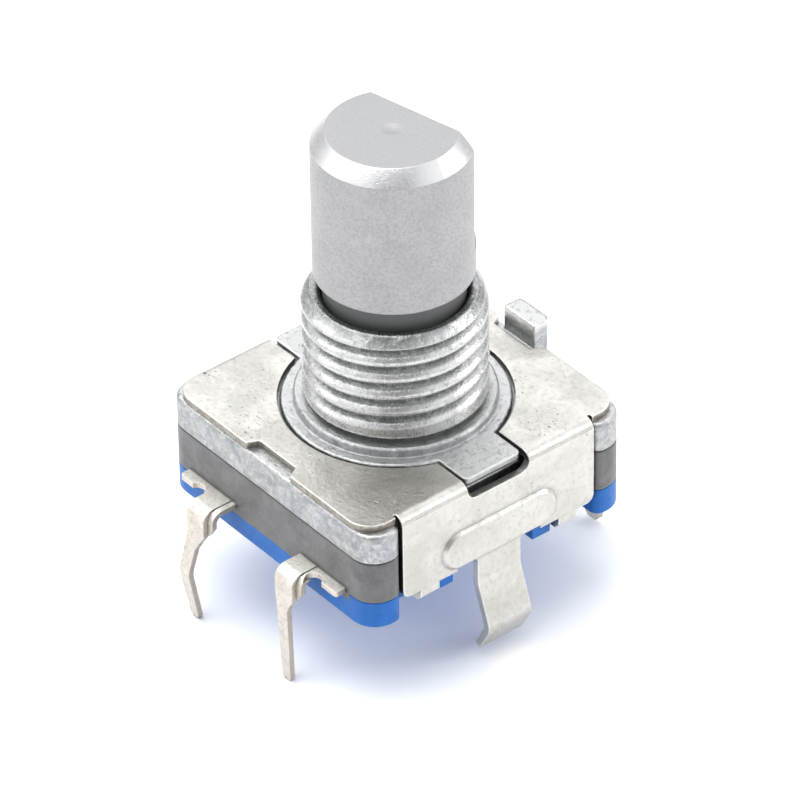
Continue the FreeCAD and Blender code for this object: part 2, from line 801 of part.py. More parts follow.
def make_cover():
    body = new_body("cover_sheet")
    top = new_sketch(body, "top_outline", UP, "sheet_level")
    shoulder = "wall_half + wall_ear"
    add_outline(top, four_ways([
        ("wall_out - bend_r", shoulder), ("cover_ear_x", shoulder), ("cover_ear_x", "cover_y"),
        ("notch_half + notch_slope", "cover_y"), ("notch_half", "cover_y - notch_deep"),
    ]))
    grow(body, "Pad", "top_sheet", top, "sheet_t")
    soften(body, "top_corners", "corner_r", upright_at(number("cover_ear_x"), number("cover_y")))
    notch_x, notch_y = number("notch_half"), number("cover_y - notch_deep")
    soften(body, "notch_corners", "notch_corner_r", upright_at(notch_x, notch_y))
    edge_x = number("notch_half + notch_slope")
    soften(body, "notch_edges", "notch_corner_r", upright_at(edge_x, number("cover_y")))
    for name, side in SIDES:
        add_side_wall(body, name, side)
    hole = new_sketch(body, "flange_hole_outline", UP, "sheet_level")
    add_circle(hole, "hole_r")
    grow(body, "Pocket", "flange_hole", hole, FAR, backwards=True)
    for name, side in SIDES:
        add_leg(body, name, side)
    slot = new_box("lug_slot", "0 - wall_out - 1", "wall_out + 1", "0 - slot_half", "slot_half",
                   "slot_low", "cover_top + 2")
    doc.recompute()
    rounded = doc.addObject("Part::Fillet", "rounded_lug_slot")
    rounded.Base = slot
    low_edges = edges_where(slot.Shape, along_x_at(number("slot_half"), number("slot_low")))
    radius = number("slot_corner_r")
    rounded.Edges = [(int(name.removeprefix("Edge")), radius, radius) for name in low_edges]
    return combine("Cut", "cover_bracket", body, rounded)


def add_side_wall(body, name, side):
    """One side wall with its bend, its raised pad and the two tabs folded under the base."""
    wall = new_sketch(body, f"{name}_wall_profile", "XZ_Plane")
    outer, inner = f"wall_out * {side}", f"( wall_out - sheet_t ) * {side}"
    root = f"( wall_out - 2 * bend_r ) * {side}"
    add_outline(wall, [
        (root, "sheet_level"), (root, "cover_top"), (outer, "cover_top"), (outer, "wall_low"),
        (inner, "wall_low"), (inner, "sheet_level"),
    ])
    grow(body, "Pad", f"{name}_wall", wall, "2 * wall_half", both_ways=True)
    sign = 1 if name == "right" else -1
    top_edge = along_y_at(number("wall_out"), number("cover_top"))
    soften(body, f"{name}_bend", "bend_r", on_side(top_edge, sign))
    low_corner = parallel_at("yz", (number("wall_half"), number("wall_low")))
    soften(body, f"{name}_wall_corners", "wall_corner_r", on_side(low_corner, sign))
    for end, first, last in (("back", "tab_y1", "tab_y2"), ("front", minus("tab_y2"), minus("tab_y1"))):
        tab = new_sketch(body, f"{name}_{end}_tab_profile", "XZ_Plane", minus(last))
        reach = f"tab_reach * {side}"
        add_outline(tab, [
            (outer, "wall_low + sheet_t"), (outer, "tab_low + tab_bend"),
            (f"( wall_out - tab_bend ) * {side}", "tab_low"), (reach, "tab_low"),
            (reach, "tab_low + sheet_t"), (inner, "tab_low + sheet_t"), (inner, "wall_low + sheet_t"),
        ])
        grow(body, "Pad", f"{name}_{end}_tab", tab, f"( {last} ) - ( {first} )")
    press_pad(body, name)


def press_pad(body, name):
    """The pad pressed out of a side wall keeps about the sheet's thickness, so it is hollow inside."""
    right = name == "right"
    out_face = "wall_out" if right else minus("wall_out")
    in_face = "wall_out - sheet_t" if right else minus("wall_out - sheet_t")
    pad = new_sketch(body, f"{name}_pad_outline", "YZ_Plane", out_face)
    add_stadium(pad, "press_half", "gate_high", "press_high")
    grow(body, "Pad", f"{name}_pad", pad, "press_deep", backwards=not right)
    hollow = new_sketch(body, f"{name}_hollow_outline", "YZ_Plane", in_face)
    add_stadium(hollow, "press_half - press_slope", "gate_high + press_slope", "press_high - press_slope")
    grow(body, "Pocket", f"{name}_hollow", hollow, "press_deep", backwards=right)
    pad_face = number("wall_out + press_deep") * (1 if right else -1)
    soften(body, f"{name}_pad_slope", "press_slope", around_pad(pad_face), "Chamfer")


def around_pad(face):
    """Picks the rim of the raised pad's outer face at the given X."""
    def test(edge):
        box = edge.BoundBox
        return abs(box.XMin - face) < NEAR and abs(box.XMax - face) < NEAR
    return test


def add_leg(body, name, side):
    """A gate is cut up to the pad, and there the leg hangs, kinks outward and hooks back."""
    right = name == "right"
    plane = f"( wall_out - sheet_t / 2 ) * {side}"
    outside = "wall_out + 1" if right else minus("wall_out + 1")
    gate = new_sketch(body, f"{name}_gate_outline", "YZ_Plane", outside)
    add_outline(gate, rectangle("0 - gate_half", "gate_half", "0", "gate_high"))
    grow(body, "Pocket", f"{name}_gate", gate, "wall_out", backwards=not right)
    route = [
        (plane, "leg_root"), (plane, "leg_knee_z", "leg_knee_r"),
        (f"leg_out_x * {side}", "leg_out_z", "leg_toe_r"), (f"leg_tip_x * {side}", "leg_tip_z"),
    ]
    section = rectangle(f"{plane} - sheet_t / 2", f"{plane} + sheet_t / 2", "0 - leg_half", "leg_half")
    sweep(body, f"{name}_leg", ("XZ_Plane", "0", route), (UP, "leg_root", section))
    corner = along_x_at(number("leg_half"), number("gate_high"))
    soften(body, f"{name}_leg_root", "gate_r", on_side(corner, 1 if right else -1))


# ---------------------------------------------------------------- terminals and wipers

def make_encoder_terminal(label, x):
    """A flat terminal moulded into the grey body, bent down behind it to a pointed pin."""
    body = new_body(label)
    middle = "( cavity_floor - pin_t / 2 )"
    sweep_strip(body, f"{label}_strip", x, [
        ("abc_inner", middle), ("abc_y", middle, "pin_bend"), ("abc_y", "abc_tip_z"),
    ], f"{x} - pin_w / 2", f"{x} + pin_w / 2", "pin_t")
    corners = [along_y_at(number(f"{x} {sign} pin_w / 2"), number("abc_tip_z")) for sign in "+-"]

    def at_tip(edge):
        return any(test(edge) for test in corners)

    soften(body, f"{label}_point", "pin_point", at_tip, "Chamfer")
    return body


def make_wiper(label, x, contact_y):
    """A springy finger welded to its terminal, pressing up on the code disc."""
    body = new_body(label)
    low, high = "cavity_floor + wiper_t / 2", "disc_low - wiper_gap - wiper_t / 2"
    sweep_strip(body, f"{label}_finger", x, [
        ("wiper_foot", low), ("wiper_heel", low, "wiper_bend"), (contact_y, high, "wiper_bend"),
        (f"{contact_y} - wiper_nose", f"{high} - wiper_dip"),
    ], f"{x} - wiper_w / 2", f"{x} + wiper_w / 2", "wiper_t")
    return body


def make_switch_terminal(label, x, wing, route):
    """A switch terminal: flat strip, tapered pin, short shoulder beside it, notched wing, inner drop."""
    body = new_body(label)
    score, shoulder_y = f"{x} + head_right", f"( {route[0][0]} + shoulder_back )"
    start = (minus("switch_inner"), "switch_z")
    sweep_strip(body, f"{label}_strip", x, [start] + route, f"{x} - head_left", score, "pin_t")
    sweep_strip(body, f"{label}_shoulder", x, [
        start, (shoulder_y, "switch_z", "pin_bend"), (shoulder_y, "waist_z"),
    ], score, f"{x} + shoulder_right", "pin_t")
    drop = new_sketch(body, f"{label}_drop_outline", UP, "pocket_floor - contact_t")
    add_outline(drop, rectangle(f"{x} - pin_w / 2", f"{x} + pin_w / 2", minus("switch_inner + pin_t"),
                                minus("switch_inner")))
    grow(body, "Pad", f"{label}_drop", drop, "switch_z - pocket_floor + contact_t")
    taper = new_sketch(body, f"{label}_taper_outline", "XZ_Plane", "half_y")
    add_outline(taper, [
        (f"{x} + shoulder_right + 1", "shoulder_high + 1"), (f"{x} + shoulder_right", "shoulder_high"),
        (f"{x} + shoulder_in", "shoulder_low"), (f"{x} + waist_right", "waist_z"),
        (f"{x} + tip_right", "tip_z + tip_cut"), (f"{x} + tip_right - tip_cut", "tip_z"),
        (f"{x} + tip_right - tip_cut", "tip_z - 1"),
        (f"{x} + shoulder_right + 1", "tip_z - 1"),
    ])
    add_outline(taper, [
        (f"{x} - head_left", "taper_z"), (f"{x} - head_left - 1", "taper_z"),
        (f"{x} - head_left - 1", "tip_z - 1"), (f"{x} - tip_left + tip_cut", "tip_z - 1"),
        (f"{x} - tip_left + tip_cut", "tip_z"), (f"{x} - tip_left", "tip_z + tip_cut"),
    ])
    grow(body, "Pocket", f"{label}_taper", taper, FAR, backwards=True)
    add_wing(body, label, x, wing)
    groove = new_sketch(body, f"{label}_score_outline", UP, "switch_z + pin_t / 2 - score_deep")
    add_outline(groove, rectangle(f"{score} - score_w / 2", f"{score} + score_w / 2",
                                  minus("straight_y"), minus("score_from")))
    grow(body, "Pocket", f"{label}_score", groove, "1", backwards=True)
    return body


def add_wing(body, label, x, reach):
    """The wing beside the strip, with a round notch in its front edge."""
    plate = new_sketch(body, f"{label}_wing_outline", UP, "switch_z - pin_t / 2")
    add_outline(plate, rectangle(x, f"{x} + {reach}", minus("wing_y"), minus("wing_root")))
    grow(body, "Pad", f"{label}_wing", plate, "pin_t")
    corner = upright_at(number(f"{x} + {reach}"), number("wing_y"))
    soften(body, f"{label}_wing_corner", "wing_corner_r", corner)
    side = "( 0 - 1 )" if reach.startswith("( 0 -") else "1"
    notch = new_sketch(body, f"{label}_notch_outline", UP, "switch_z - pin_t / 2")
    add_circle(notch, "wing_notch_r", f"{x} + wing_notch_x * {side}", minus("wing_notch_y"))
    grow(body, "Pocket", f"{label}_notch", notch, "pin_t", backwards=True)


def add_floor_lead(body, near, turn):
    """The lead in the base's floor, from under the terminal's strip towards the shaft's axis."""
    lead = new_sketch(body, f"{body.Label}_lead_outline", UP, "pocket_floor - contact_t", turn)
    add_outline(lead, rectangle(near, "lead_far", "0 - lead_half", "lead_half"))
    grow(body, "Pad", f"{body.Label}_lead", lead, "contact_t")


def make_centre_contact_terminal():
    body = make_switch_terminal("switch_terminal_d", minus("switch_left"), "( 0 - wing_left )", [
        (minus("bent_y"), "switch_z", "pin_bend"), (minus("bent_y"), "bent_z", "bent_r"),
        (minus("kink_y"), "kink_z", "bent_r"), (minus("kink_tip_y"), "tip_z"),
    ])
    add_floor_lead(body, "0", "180 + lead_turn")
    pad = new_sketch(body, "centre_contact_outline", UP, "pocket_floor - contact_t")
    add_circle(pad, "contact_r")
    grow(body, "Pad", "centre_contact", pad, "contact_t")
    return body


def make_ring_contact_terminal():
    body = make_switch_terminal("switch_terminal_e", "switch_right", "wing_right", [
        (minus("straight_y"), "switch_z", "pin_bend"), (minus("straight_tip_y"), "tip_z"),
    ])
    add_floor_lead(body, "ring_in", "0 - lead_turn")
    ring = new_sketch(body, "ring_contact_outline", UP, "pocket_floor - contact_t")
    add_circle(ring, "ring_out")
    add_circle(ring, "ring_in")
    grow(body, "Pad", "ring_contact", ring, "contact_t")
    gap = new_sketch(body, "ring_gap_outline", UP, "pocket_floor - contact_t", "180 + lead_turn")
    add_outline(gap, rectangle("contact_r", "pocket_r", "0 - ring_gap", "ring_gap"))
    grow(body, "Pocket", "ring_gap", gap, "contact_t", backwards=True)
    return body


# ---------------------------------------------------------------- plastic layers

def add_quadrants(sketch, x1, x2, y1, y2):
    """The same rectangle in all four quadrants."""
    for _, x in SIDES:
        for _, y in SIDES:
            add_outline(sketch, rectangle(f"( {x1} ) * {x}", f"( {x2} ) * {x}",
                                          f"( {y1} ) * {y}", f"( {y2} ) * {y}"))


def make_wafer(terminals):
    body = new_body("wafer_block")
    block = new_sketch(body, "wafer_outline", UP, "rib_level")
    add_outline(block, four_ways(body_outline()))
    grow(body, "Pad", "wafer_pad", block, "plate_level - rib_level")
    round_corners(body)
    soften(body, "wafer_top_edge", "layer_edge", at_level(number("plate_level")), "Chamfer")
    steps = new_sketch(body, "corner_step_outline", UP, "rib_level")
    add_quadrants(steps, "step_x", "boss_x + 1", "boss_y", "half_y + 1")
    grow(body, "Pocket", "corner_steps", steps, "boss_level - rib_level", backwards=True)
    cavity = new_sketch(body, "wafer_cavity_profile", "XZ_Plane")
    add_outline(cavity, [
        ("0", "0"), ("pocket_r", "0"), ("pocket_r", "chamber_top"), ("stem_r + fit_gap", "chamber_top"),
        ("stem_r + fit_gap", "cavity_floor"), ("wafer_r", "cavity_floor"),
        ("wafer_r", "plate_level + 1"), ("0", "plate_level + 1"),
    ])
    spin(body, "Groove", "wafer_cavity", cavity)
    return combine("Cut", "wafer_body", body, join("moulded_in", terminals))


def make_base(terminals):
    body = new_body("base_block")
    block = new_sketch(body, "base_outline", UP)
    add_outline(block, four_ways([("wall_x", "boss_y"), ("boss_x", "boss_y"), ("boss_x", "half_y")]))
    grow(body, "Pad", "base_pad", block, "boss_level")
    round_corners(body)
    soften(body, "base_top_edge", "layer_edge", at_level(number("boss_level")), "Chamfer")
    cross = new_sketch(body, "cross_outline", UP, "rib_level")
    add_outline(cross, four_ways([
        ("boss_x + 1", "boss_y"), ("step_x", "boss_y"), ("step_x", "half_y + 1"),
    ]))
    grow(body, "Pocket", "rib_step", cross, "1", backwards=True)
    pocket = new_sketch(body, "dome_pocket_outline", UP, "pocket_floor")
    add_circle(pocket, "pocket_r")
    grow(body, "Pocket", "dome_pocket", pocket, "1", backwards=True)
    tabs = new_sketch(body, "tab_relief_outline", UP, "0 - 1")
    add_quadrants(tabs, "tab_reach - tab_room", "boss_x + 1", "tab_y1 - tab_room", "boss_y")
    grow(body, "Pocket", "tab_relief", tabs, "1 + tab_low + sheet_t + tab_air", backwards=True)
    legs = new_sketch(body, "leg_relief_outline", UP, "0 - 1")
    for _, x in SIDES:
        add_outline(legs, rectangle(f"leg_room_x * {x}", f"( boss_x + 1 ) * {x}",
                                    "0 - leg_room_y", "leg_room_y"))
    grow(body, "Pocket", "leg_relief", legs, FAR, backwards=True)
    return combine("Cut", "switch_base", body, join("moulded_under", terminals))


# ---------------------------------------------------------------- push switch

def make_dome():
    radius = "( ( dome_r * dome_r + dome_rise * dome_rise ) / ( 2 * dome_rise ) )"
    centre = f"( pocket_floor + dome_play + dome_rise - {radius} )"
    shell = combine("Cut", "dome_shell", new_sphere("dome_outside", radius, centre),
                    new_sphere("dome_inside", f"{radius} - dome_t", centre))
    return combine("Common", "switch_dome", shell,
                   new_cylinder("dome_trim", "dome_r", "pocket_floor + dome_play", "chamber_top"))


def make_plunger():
    body = new_body("switch_plunger")
    profile = new_sketch(body, "plunger_profile", "XZ_Plane")
    add_outline(profile, [
        ("0", "stem_flange_low"), ("stem_flange_r", "stem_flange_low"),
        ("stem_flange_r", "stem_flange_top"), ("stem_r", "stem_flange_top"),
        ("stem_r", "stem_top"), ("0", "stem_top"),
    ])
    spin(body, "Revolution", "plunger_turning", profile)
    return body


# ---------------------------------------------------------------- assembly

def make_parts():
    outer_contact = "abc_pitch / tan( sensor_step * 360 / steps / 2 )"
    encoder_terminals = [
        make_encoder_terminal("terminal_a", minus("abc_pitch")),
        make_encoder_terminal("terminal_c", "0"),
        make_encoder_terminal("terminal_b", "abc_pitch"),
    ]
    wipers = [
        make_wiper("wiper_a", minus("abc_pitch"), outer_contact),
        make_wiper("wiper_c", "0", "common_r"),
        make_wiper("wiper_b", "abc_pitch", outer_contact),
    ]
    switch_terminals = [make_centre_contact_terminal(), make_ring_contact_terminal()]
    return [
        make_shaft(), make_retaining_ring(), make_thrust_washer(), make_bushing_housing(), make_cover(),
        make_detent_spring(), make_rotor(), make_code_disc(),
        make_wafer(encoder_terminals + switch_terminals), make_base(switch_terminals),
        make_dome(), make_plunger(),
    ] + encoder_terminals + wipers + switch_terminals


def check_document():
    for thing in doc.Objects:
        if "Invalid" in thing.State or "Error" in thing.State:
            raise RuntimeError(f"{thing.Label} is {thing.State}")


def write_parts(parts):
    os.makedirs("parts", exist_ok=True)
    for part in parts:
        shape = part.Shape
        if shape.isNull() or not shape.isValid() or shape.Volume <= 0:
            raise RuntimeError(f"{part.Label} has no valid solid")
        if len(shape.Solids) != 1:
            raise RuntimeError(f"{part.Label} is {len(shape.Solids)} solids")
        shape.exportStep(f"parts/{part.Label}.step")
        print(f"{part.Label:20s} {shape.Volume:9.3f} mm3")


all_parts = make_parts()
doc.recompute()
check_document()
write_parts(all_parts)
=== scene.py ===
import math

import bpy
from mathutils import Matrix, Vector


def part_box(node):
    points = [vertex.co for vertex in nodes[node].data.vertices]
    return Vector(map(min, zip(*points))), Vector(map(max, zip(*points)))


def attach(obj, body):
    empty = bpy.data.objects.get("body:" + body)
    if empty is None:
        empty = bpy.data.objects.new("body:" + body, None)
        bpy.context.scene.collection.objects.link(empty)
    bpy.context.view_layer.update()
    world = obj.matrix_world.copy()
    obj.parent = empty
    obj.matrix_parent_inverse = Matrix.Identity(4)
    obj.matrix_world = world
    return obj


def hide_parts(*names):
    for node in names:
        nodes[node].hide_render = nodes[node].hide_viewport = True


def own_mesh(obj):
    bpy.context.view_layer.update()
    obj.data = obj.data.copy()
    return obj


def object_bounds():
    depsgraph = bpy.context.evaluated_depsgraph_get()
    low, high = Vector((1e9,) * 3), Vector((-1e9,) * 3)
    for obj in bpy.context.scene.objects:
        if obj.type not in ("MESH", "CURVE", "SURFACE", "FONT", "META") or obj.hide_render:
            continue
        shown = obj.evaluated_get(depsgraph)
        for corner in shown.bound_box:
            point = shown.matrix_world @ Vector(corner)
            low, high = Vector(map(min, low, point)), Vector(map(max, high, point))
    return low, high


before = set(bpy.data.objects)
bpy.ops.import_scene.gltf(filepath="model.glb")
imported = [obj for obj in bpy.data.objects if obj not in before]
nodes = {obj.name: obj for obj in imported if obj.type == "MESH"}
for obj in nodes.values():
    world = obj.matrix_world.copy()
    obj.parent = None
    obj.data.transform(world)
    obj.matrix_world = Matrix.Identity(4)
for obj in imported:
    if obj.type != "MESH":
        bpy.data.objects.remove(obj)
cad_low, cad_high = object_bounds()

MM = 0.001

# Heights and radii that the frame gives, in metres.
ground = cad_low.z
shaft_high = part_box("shaft")[1]
shaft_r = shaft_high.x
cover_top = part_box("cover_bracket")[1].z
bushing_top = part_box("bushing_housing")[1].z

# Sizes of details that the finishes follow.
SHOULDER = bushing_top + 0.85 * MM
CHAMFER = 0.55 * MM
SHEET = 0.30 * MM
THREAD_LOW, THREAD_HIGH = cover_top + 0.40 * MM, cover_top + 0.60 * MM
THREAD_ROOT, THREAD_CREST = 3.15 * MM, 3.45 * MM

# Rays that each rounded edge, each edge lightened as wear and painted highlight, and each corner given
# painted shade is found with.
EDGE_SAMPLES = 6

# The photo's viewing angle: how far round from -Y the camera stands, how far up, and its tilt.
AZIMUTH, ELEVATION, ROLL = math.radians(51.281), math.radians(37.491), math.radians(-0.833)
TO_CAMERA = Vector((
    math.sin(AZIMUTH) * math.cos(ELEVATION), -math.cos(AZIMUTH) * math.cos(ELEVATION), math.sin(ELEVATION),
))


# ---------------------------------------------------------------- node helpers

class Shader:
    """A material's node tree, with short calls for the nodes that the finishes use."""

    def __init__(self, name, slot):
        self.material = bpy.data.materials.new(name)
        self.material.use_nodes = True
        self.slot = slot
        self.tree = self.material.node_tree
        self.surface = self.tree.nodes["Principled BSDF"]
        self.place = self.tree.nodes.new("ShaderNodeTexCoord").outputs["Object"]

    def set(self, **values):
        """Sets the shader's own sockets, named with _ for each space."""
        for name, value in values.items():
            self.surface.inputs[name.replace("_", " ")].default_value = value
        return self

    def link(self, output, name):
        """Leads an output to one of the shader's own sockets."""
        self.tree.links.new(output, self.surface.inputs[name])

    def node(self, kind, *inputs, **settings):
        """A new node, with each input linked or set unless it is None."""
        made = self.tree.nodes.new(f"ShaderNode{kind}")
        for name, value in settings.items():
            setattr(made, name, value)
        for index, value in enumerate(inputs):
            if isinstance(value, bpy.types.NodeSocket):
                self.tree.links.new(value, made.inputs[index])
            elif value is not None:
                made.inputs[index].default_value = value
        return made

    def math(self, operation, *inputs):
        return self.node("Math", *inputs, operation=operation).outputs[0]

    def times(self, *inputs):
        return self.math("MULTIPLY", *inputs)

    def minus(self, *inputs):
        return self.math("SUBTRACT", *inputs)

    def either(self, *inputs):
        """The larger of the two."""
        return self.math("MAXIMUM", *inputs)

    def stretched(self, x, y, z):
        """The object's own coordinates, scaled along each axis."""
        return self.node("Mapping", self.place, None, None, (x, y, z)).outputs[0]

    def noise(self, size, detail=3.0, rough=0.55, where=None, spread=0.0):
        """Noise whose features are about size metres across, from 0 to 1."""
        made = self.node("TexNoise", where or self.place)
        made.inputs["Scale"].default_value = 1.0 / size
        made.inputs["Detail"].default_value = detail
        made.inputs["Roughness"].default_value = rough
        made.inputs["Distortion"].default_value = spread
        return made.outputs[0]

    def ramp(self, value, low, high, start=0.0, end=1.0):
        """Maps value from low..high to start..end, and holds it there outside."""
        made = self.node("MapRange", value, low, high, start, end)
        made.clamp = True
        return made.outputs[0]

    def mix(self, factor, one, two):
        """Colour one where factor is 0, and colour two where it is 1."""
        ends = [end if isinstance(end, bpy.types.NodeSocket) else (*end, 1.0) for end in (one, two)]
        return self.node("MixRGB", factor, *ends).outputs[0]

    def bump(self, height, depth, under=None):
        """Raises the surface by up to depth metres."""
        made = self.node("Bump")
        made.inputs["Strength"].default_value = 1.0
        made.inputs["Distance"].default_value = depth
        self.tree.links.new(height, made.inputs["Height"])
        if under is not None:
            self.tree.links.new(under, made.inputs["Normal"])
        return made.outputs[0]

    def rounded(self, radius):
        """Normals that turn smoothly round the sharp edges, as a small fillet would."""
        made = self.node("Bevel", radius)
        made.samples = EDGE_SAMPLES
        return made.outputs[0]

    def near_edge(self, reach, inside=True):
        """1 on an outer edge and 0 away from it; with inside False, 1 deep in a corner."""
        made = self.node("AmbientOcclusion", None, reach)
        made.samples = EDGE_SAMPLES
        made.inside = inside
        made.only_local = inside
        return self.minus(1.0, made.outputs["AO"])

    def height(self):
        """The height above the board's face."""
        return self.node("SeparateXYZ", self.place).outputs["Z"]

    def radius(self):
        """The distance from the shaft's axis."""
        parts = self.node("SeparateXYZ", self.place)
        x, y = parts.outputs["X"], parts.outputs["Y"]
        return self.math("SQRT", self.math("ADD", self.times(x, x), self.times(y, y)))

    def facing(self, axis):
        """The true normal's part along one axis."""
        normal = self.node("NewGeometry").outputs["True Normal"]
        return self.node("SeparateXYZ", normal).outputs[axis]

    def between(self, value, low, high, soft):
        """1 where value lies between low and high, fading to 0 over soft beyond each."""
        rise = self.ramp(value, low - soft, low)
        return self.times(rise, self.ramp(value, high, high + soft, 1.0, 0.0))


def scratches(shader, angle, length, width, share, seed):
    """Fine straight scratches along one direction: 1 on a scratch and 0 beside it."""
    offset = (seed, seed / 3.0, 0.0)
    turned = shader.node("Mapping", shader.place, offset, (0.0, 0.0, angle), (1.0, 1.0, 1.0))
    scale = (1.0 / length, 1.0 / width, 1.0 / length)
    drawn = shader.node("Mapping", turned.outputs[0], None, None, scale)
    made = shader.node("TexNoise", drawn.outputs[0])
    made.inputs["Scale"].default_value = 1.0
    made.inputs["Detail"].default_value = 2.0
    return shader.ramp(made.outputs[0], 1.0 - share, 1.04 - share)


# ---------------------------------------------------------------- finishes

# Colours in linear red, green and blue. A pair is the dark and the light of a clouded one.
SHAFT = (0.36, 0.36, 0.365), (0.405, 0.40, 0.40)
SHAFT_SPECK = (0.30, 0.30, 0.305)
# Painted shade: the shaft's neck under the shoulder is coloured dark in place of the shade it lies in.
SHAFT_NECK_SHADE = (0.112, 0.115, 0.115)
# Painted highlight: the shaft's upward end face is coloured lighter.
SHAFT_END_HIGHLIGHT = (0.42, 0.42, 0.43)
# Painted highlight on the chamfer; its lower roughness below is its real polish.
SHAFT_CHAMFER_HIGHLIGHT = (0.62, 0.62, 0.625)
ZINC = (0.29, 0.30, 0.31), (0.42, 0.43, 0.435)
# Painted highlight: upward faces of the casting are coloured lighter.
ZINC_LIT_TOP = (0.60, 0.61, 0.605)
# Painted shade in the thread's roots and painted highlight on its crests, dark to light by radius.
ZINC_THREAD_SHADE_AND_HIGHLIGHT = (0.27, 0.275, 0.275), (0.62, 0.62, 0.61)
ZINC_PATCH = (0.62, 0.625, 0.62)
ZINC_STAIN = (0.26, 0.265, 0.265)
ZINC_PIT = (0.12, 0.125, 0.13)
# Edges lightened: edge wear and a painted highlight.
ZINC_RIM_WEAR_AND_HIGHLIGHT = (0.90, 0.90, 0.88)
# Painted shade deep in corners.
ZINC_CORNER_SHADE = (0.09, 0.092, 0.09)
TIN = (0.55, 0.54, 0.505), (0.70, 0.68, 0.64)
TIN_MOTTLE = (0.40, 0.385, 0.355)
TIN_SPECK = (0.94, 0.93, 0.90)
TIN_MARK = (0.17, 0.16, 0.14)
# Painted shade: upright faces of the sheet are coloured darker.
TIN_UPRIGHT_SHADE = (0.50, 0.485, 0.445)
TIN_SHEARED = (0.24, 0.21, 0.17)
# Edges lightened: rubbed wear and a painted highlight.
TIN_RIM_WEAR_AND_HIGHLIGHT = (0.88, 0.87, 0.84)
# Painted shade deep in corners.
TIN_CORNER_SHADE = (0.10, 0.095, 0.085)
PIN = (0.62, 0.565, 0.505), (0.72, 0.67, 0.61)
# Painted light: a lighter copy of the tin for faces that look upwards.
PIN_LIT_TOP = (0.74, 0.71, 0.66), (0.90, 0.88, 0.83)
PIN_MOTTLE = (0.40, 0.35, 0.29)
PIN_DRAWN = (0.44, 0.38, 0.31)
PIN_SHEARED = (0.36, 0.31, 0.25)
# Edges lightened: edge wear and a painted highlight.
PIN_RIM_WEAR_AND_HIGHLIGHT = (0.84, 0.80, 0.74)
# Painted shade deep in corners.
PIN_CORNER_SHADE = (0.07, 0.055, 0.045)
STEEL = (0.50, 0.50, 0.49), (0.68, 0.68, 0.66)
BRONZE = (0.55, 0.36, 0.18), (0.72, 0.50, 0.28)
BRASS = (0.62, 0.46, 0.20), (0.80, 0.62, 0.30)
GREY = (0.088, 0.088, 0.09), (0.142, 0.142, 0.143)
BLUE = (0.003, 0.108, 0.40), (0.005, 0.13, 0.46)
WHITE = (0.70, 0.69, 0.65), (0.78, 0.77, 0.73)


def turned_aluminium():
    """Satin turned metal: painted shade on the neck under the shoulder, a painted highlight on the top end
    face, and a polished chamfer with a painted highlight.
    """
    s = Shader("turned_aluminium", "shaft_metal")
    grain = s.noise(0.11 * MM, 3.0, 0.6)
    lines = s.noise(0.05 * MM, 2.0, 0.6, s.stretched(0.35, 0.35, 3.0))
    worn = s.mix(s.ramp(s.noise(1.2 * MM, 3.0), 0.3, 0.7), *SHAFT)
    colour = s.mix(s.ramp(grain, 0.44, 0.66, 0.0, 0.55), worn, SHAFT_SPECK)
    height = s.height()
    thin = s.ramp(s.radius(), 0.91 * shaft_r, 0.96 * shaft_r, 1.0, 0.0)
    # Painted shade: the thin neck below the shoulder is coloured dark, made rougher and less metallic.
    shaded_neck = s.times(thin, s.ramp(height, SHOULDER, SHOULDER + 0.1 * MM, 1.0, 0.0))
    colour = s.mix(shaded_neck, colour, SHAFT_NECK_SHADE)
    level = s.facing("Z")
    near_top = s.ramp(height, shaft_high.z - 1.2 * CHAMFER, shaft_high.z - CHAMFER)
    # Painted highlight: the upward end face is coloured lighter.
    lit_end_face = s.times(near_top, s.ramp(level, 0.95, 0.98, 0.0, 0.7))
    colour = s.mix(lit_end_face, colour, SHAFT_END_HIGHLIGHT)
    # The chamfer: less rough as it is polished, and coloured lighter as a painted highlight.
    chamfer = s.times(near_top, s.between(level, 0.45, 0.90, 0.06))
    s.link(s.mix(s.times(chamfer, 0.9), colour, SHAFT_CHAMFER_HIGHLIGHT), "Base Color")
    rough = s.math("ADD", s.ramp(grain, 0.3, 0.7, 0.40, 0.54), s.times(shaded_neck, 0.10))
    s.link(s.minus(rough, s.times(chamfer, 0.15)), "Roughness")
    s.link(s.minus(1.0, s.times(shaded_neck, 0.6)), "Metallic")
    s.link(s.bump(s.math("ADD", grain, lines), 0.006 * MM, s.rounded(0.06 * MM)), "Normal")
    return s


